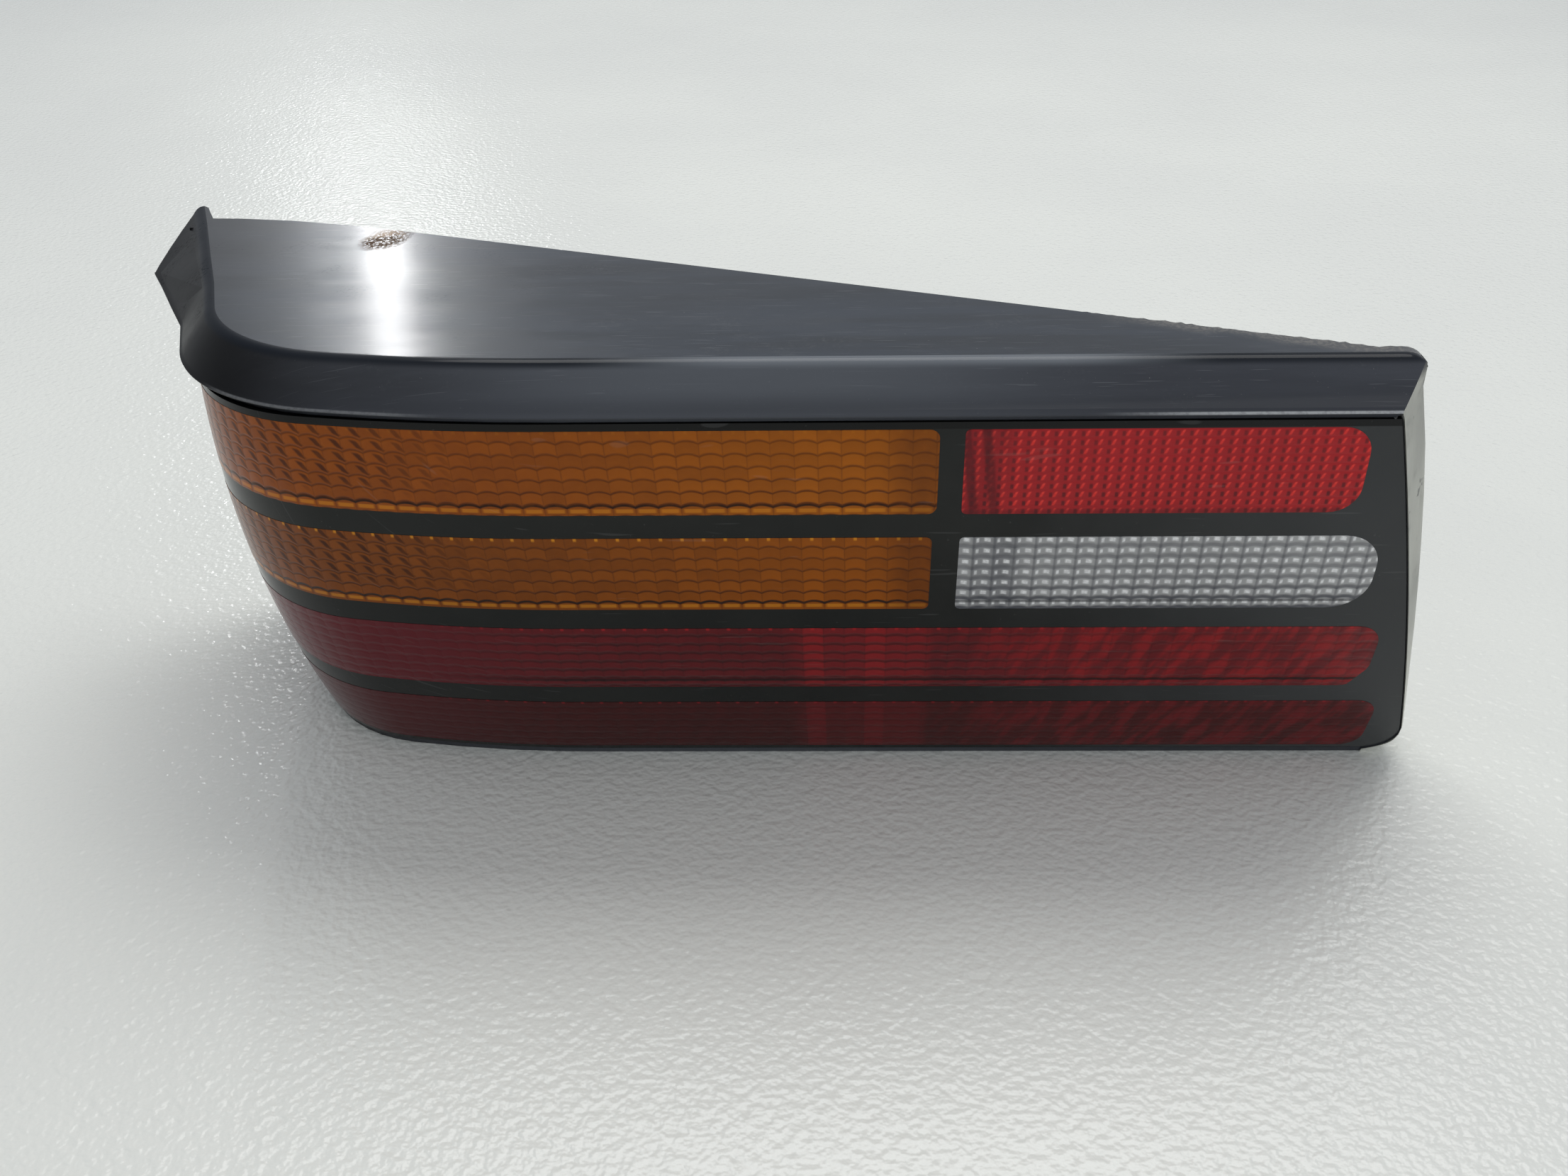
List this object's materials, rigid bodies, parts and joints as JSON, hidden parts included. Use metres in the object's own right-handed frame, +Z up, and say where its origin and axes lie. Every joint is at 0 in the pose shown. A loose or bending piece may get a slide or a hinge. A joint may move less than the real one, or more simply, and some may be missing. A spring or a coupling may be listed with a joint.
{
  "type": "car rear lamp cluster",
  "caption": "Wraparound rear lamp cluster with amber, red and clear ribbed windows in a black lens frame, under a black sloping top, with stud fixings and a bulb carrier behind.",
  "frame": {"origin": "centre of the four fixing studs, on the plane where the gasket meets the car body", "axes": "+X right as seen from behind the car, +Y forward along the studs, +Z up"},
  "size_m": [0.445, 0.1609, 0.1625],
  "materials": {
    "surround_plastic": "glossy black, lightly scratched",
    "frame_plastic": "glossy black",
    "amber_plastic": "clear amber, glossy",
    "red_plastic": "clear red, glossy",
    "clear_plastic": "clear, glossy",
    "dark_red_plastic": "clear dark red, glossy",
    "sealant": "dull black",
    "body_plastic": "pale grey, satin",
    "foam": "dull closed-cell foam",
    "stud_steel": "zinc plated",
    "carrier_plastic": "ivory, satin",
    "spring_steel": "plain spring steel",
    "plated_brass": "tinned",
    "strip_brass": "plain",
    "amber_glass": "clear amber-tinted",
    "bulb_glass": "clear",
    "connector_plastic": "dark grey, matt",
    "cap_rubber": "matt"
  },
  "bodies": {
    "root": {"surround": "surround_plastic", "lens_frame": "frame_plastic", "lens_amber": "amber_plastic", "lens_red_upper": "red_plastic", "lens_clear": "clear_plastic", "lens_red_lower": "dark_red_plastic", "lens_seal": "sealant", "lamp_body": "body_plastic", "body_gasket": "foam", "fixing_studs": "stud_steel", "bulb_carrier": "carrier_plastic", "carrier_seal": "foam", "carrier_latches": "spring_steel", "bulb_sockets": "plated_brass", "ground_strip": "strip_brass", "feed_strips": "strip_brass", "indicator_bulb": "amber_glass", "brake_bulb": "bulb_glass", "reversing_bulb": "bulb_glass", "tail_bulb": "bulb_glass", "fog_bulb": "bulb_glass", "connector_shell": "connector_plastic", "connector_pins": "strip_brass", "vent_caps": "cap_rubber"}
  },
  "joints": []
}
